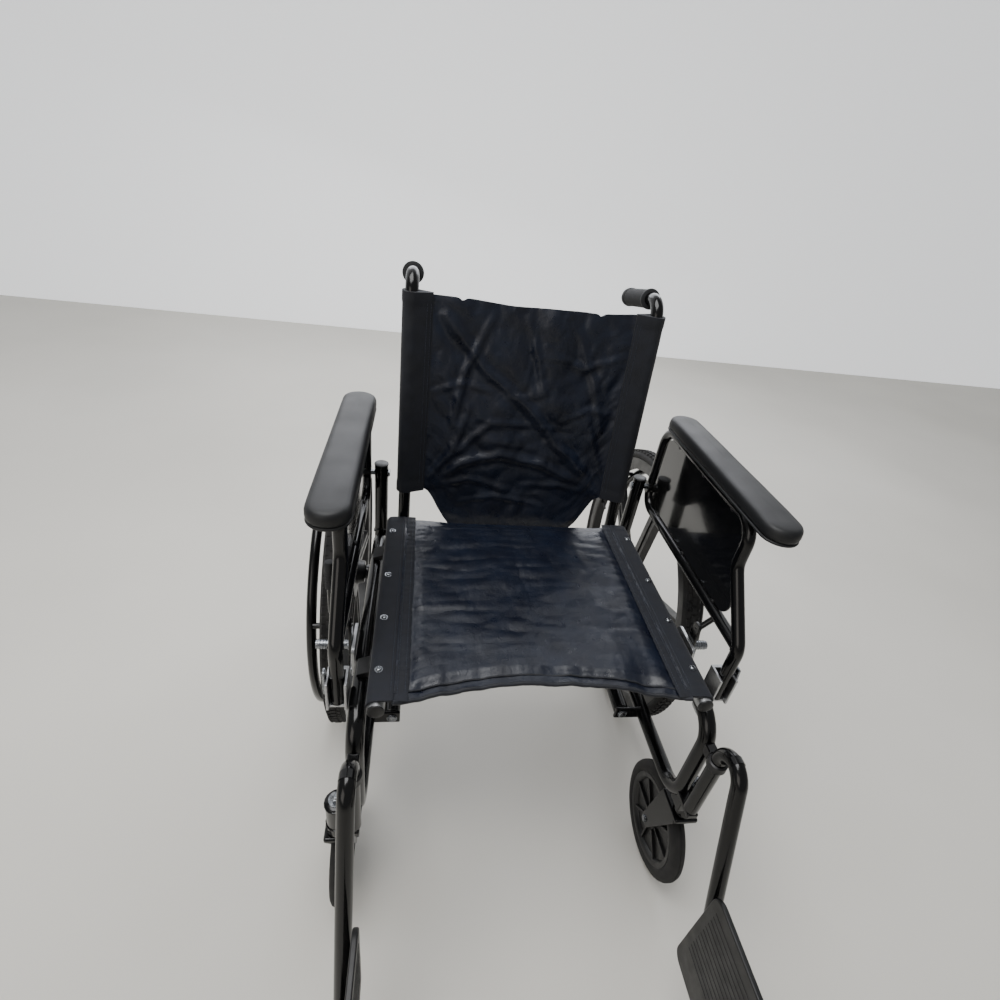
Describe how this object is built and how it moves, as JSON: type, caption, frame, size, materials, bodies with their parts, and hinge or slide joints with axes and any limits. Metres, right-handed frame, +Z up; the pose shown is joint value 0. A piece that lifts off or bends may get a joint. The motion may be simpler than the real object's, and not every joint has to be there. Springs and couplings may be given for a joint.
{
  "type": "manual wheelchair",
  "caption": "Folding self-propelled wheelchair with sling seat and back, flip-back arms, spoked mag wheels, casters and swing-away footrests.",
  "frame": {"origin": "on the floor, under the middle of the chair's overall box", "axes": "+Z up, the chair faces -Y, +X to the right in a front view"},
  "size_m": [0.725, 1.092, 0.9375],
  "materials": {
    "black_paint": "gloss black powder coat on tube",
    "handrim_paint": "gloss black coat on the handrims",
    "rail_metal": "satin black coat on the seat rails",
    "chrome": "bright plated fasteners",
    "aluminium": "satin cast brackets",
    "nylon": "navy-black coated nylon cloth",
    "pad_vinyl": "dark grey moulded vinyl skin foam",
    "grip_rubber": "matt dark grey rubber",
    "tyre": "matt treaded tyre",
    "black_plastic": "satin moulded plastic",
    "mag_plastic": "grained composite wheel moulding",
    "panel_plastic": "glossy black sheet"
  },
  "bodies": {
    "frame_left": {"side_frame_left": "black_paint", "back_post_left": "black_paint", "hand_grip_left": "grip_rubber", "arm_bolt_left": "chrome", "arm_socket_left": "aluminium", "lock_base_left": "aluminium", "brace_rod_left": "chrome", "rail_saddle_front_left": "black_plastic", "rail_saddle_rear_left": "black_plastic", "back_sling": "nylon"},
    "brace_a": {"cross_brace_a": "black_paint", "seat_rail_right": "rail_metal", "brace_bolt": "chrome"},
    "brace_b": {"cross_brace_b": "black_paint", "seat_rail_left": "rail_metal", "seat_sling": "nylon"},
    "frame_right": {"side_frame_right": "black_paint", "back_post_right": "black_paint", "hand_grip_right": "grip_rubber", "arm_bolt_right": "chrome", "arm_socket_right": "aluminium", "lock_base_right": "aluminium", "brace_rod_right": "chrome", "rail_saddle_front_right": "black_plastic", "rail_saddle_rear_right": "black_plastic"},
    "wheel_left": {"rear_wheel_left": "mag_plastic", "rear_tyre_left": "tyre", "handrim_left": "handrim_paint", "rear_axle_left": "chrome"},
    "fork_left": {"caster_fork_left": "black_paint", "caster_nut_left": "chrome", "caster_axle_left": "chrome"},
    "caster_left": {"caster_wheel_left": "black_plastic", "caster_tyre_left": "tyre"},
    "arm_left": {"arm_frame_left": "black_paint", "arm_pad_left": "pad_vinyl", "side_panel_left": "panel_plastic"},
    "latch_left": {"arm_latch_left": "chrome"},
    "lever_left": {"lock_lever_left": "black_paint"},
    "shoe_left": {"lock_shoe_left": "aluminium"},
    "hanger_left": {"hanger_left": "black_paint"},
    "plate_left": {"footplate_left": "black_plastic"},
    "wheel_right": {"rear_wheel_right": "mag_plastic", "rear_tyre_right": "tyre", "handrim_right": "handrim_paint", "rear_axle_right": "chrome"},
    "fork_right": {"caster_fork_right": "black_paint", "caster_nut_right": "chrome", "caster_axle_right": "chrome"},
    "caster_right": {"caster_wheel_right": "black_plastic", "caster_tyre_right": "tyre"},
    "arm_right": {"arm_frame_right": "black_paint", "arm_pad_right": "pad_vinyl", "side_panel_right": "panel_plastic"},
    "latch_right": {"arm_latch_right": "chrome"},
    "lever_right": {"lock_lever_right": "black_paint"},
    "shoe_right": {"lock_shoe_right": "aluminium"},
    "hanger_right": {"hanger_right": "black_paint"},
    "plate_right": {"footplate_right": "black_plastic"}
  },
  "joints": [
    {"name": "fold", "type": "hinge", "parent": "frame_left", "child": "brace_a", "pos_m": [-0.212, -0.026, 0.255], "axis": [0, -1, 0], "range_deg": [0, 51], "deforming": ["seat_sling", "back_sling"]},
    {"name": "fold_middle", "type": "hinge", "parent": "brace_a", "child": "brace_b", "pos_m": [0, -0.026, 0.36741], "axis": [0, -1, 0], "range_deg": [-103, 1]},
    {"name": "fold_right", "type": "hinge", "parent": "brace_b", "child": "frame_right", "pos_m": [0.212, -0.026, 0.255], "axis": [0, -1, 0], "range_deg": [-1, 52]},
    {"name": "wheel_roll_left", "type": "hinge", "parent": "frame_left", "child": "wheel_left", "pos_m": [-0.318, 0.241, 0.305], "axis": [1, 0, 0], "continuous": true},
    {"name": "caster_swivel_left", "type": "hinge", "parent": "frame_left", "child": "fork_left", "pos_m": [-0.281, -0.246, 0.2045], "axis": [0, 0, 1], "continuous": true},
    {"name": "caster_roll_left", "type": "hinge", "parent": "fork_left", "child": "caster_left", "pos_m": [-0.281, -0.201, 0.1], "axis": [1, 0, 0], "continuous": true},
    {"name": "arm_flip_left", "type": "hinge", "parent": "frame_left", "child": "arm_left", "pos_m": [-0.281, 0.204, 0.58], "axis": [-1, 0, 0], "range_deg": [0, 82]},
    {"name": "arm_latch_left", "type": "hinge", "parent": "frame_left", "child": "latch_left", "pos_m": [-0.2973, -0.189, 0.47], "axis": [1, 0, 0], "range_deg": [0, 25], "stiffness_Nm_per_rad": 0.02},
    {"name": "lock_lever_left", "type": "hinge", "parent": "frame_left", "child": "lever_left", "pos_m": [-0.2744, -0.101, 0.452], "axis": [1, 0, 0], "range_deg": [0, 50]},
    {"name": "lock_shoe_left", "type": "hinge", "parent": "frame_left", "child": "shoe_left", "pos_m": [-0.2744, -0.0817, 0.3745], "axis": [-1, 0, 0], "range_deg": [0, 17]},
    {"name": "footrest_swing_left", "type": "hinge", "parent": "frame_left", "child": "hanger_left", "pos_m": [-0.2535, -0.281, 0.292], "axis": [0, 0, -1], "range_deg": [0, 90]},
    {"name": "footplate_flip_left", "type": "hinge", "parent": "hanger_left", "child": "plate_left", "pos_m": [-0.2535, -0.5, 0.13], "axis": [0, -1, 0], "range_deg": [-90, 0]},
    {"name": "wheel_roll_right", "type": "hinge", "parent": "frame_right", "child": "wheel_right", "pos_m": [0.318, 0.241, 0.305], "axis": [1, 0, 0], "continuous": true},
    {"name": "caster_swivel_right", "type": "hinge", "parent": "frame_right", "child": "fork_right", "pos_m": [0.281, -0.246, 0.2045], "axis": [0, 0, 1], "continuous": true},
    {"name": "caster_roll_right", "type": "hinge", "parent": "fork_right", "child": "caster_right", "pos_m": [0.281, -0.201, 0.1], "axis": [1, 0, 0], "continuous": true},
    {"name": "arm_flip_right", "type": "hinge", "parent": "frame_right", "child": "arm_right", "pos_m": [0.281, 0.204, 0.58], "axis": [-1, 0, 0], "range_deg": [0, 82]},
    {"name": "arm_latch_right", "type": "hinge", "parent": "frame_right", "child": "latch_right", "pos_m": [0.2973, -0.189, 0.47], "axis": [1, 0, 0], "range_deg": [0, 25], "stiffness_Nm_per_rad": 0.02},
    {"name": "lock_lever_right", "type": "hinge", "parent": "frame_right", "child": "lever_right", "pos_m": [0.2744, -0.101, 0.452], "axis": [1, 0, 0], "range_deg": [0, 50]},
    {"name": "lock_shoe_right", "type": "hinge", "parent": "frame_right", "child": "shoe_right", "pos_m": [0.2744, -0.0817, 0.3745], "axis": [-1, 0, 0], "range_deg": [0, 17]},
    {"name": "footrest_swing_right", "type": "hinge", "parent": "frame_right", "child": "hanger_right", "pos_m": [0.2535, -0.281, 0.292], "axis": [0, 0, 1], "range_deg": [0, 90]},
    {"name": "footplate_flip_right", "type": "hinge", "parent": "hanger_right", "child": "plate_right", "pos_m": [0.2535, -0.5, 0.13], "axis": [0, 1, 0], "range_deg": [-90, 0]}
  ],
  "couplings": [
    {"joint": "fold_middle", "follows": "fold", "ratio": -2},
    {"joint": "fold_right", "follows": "fold", "ratio": 1},
    {"joint": "lock_shoe_left", "follows": "lock_lever_left", "ratio": 0.3},
    {"joint": "lock_shoe_right", "follows": "lock_lever_right", "ratio": 0.3}
  ]
}
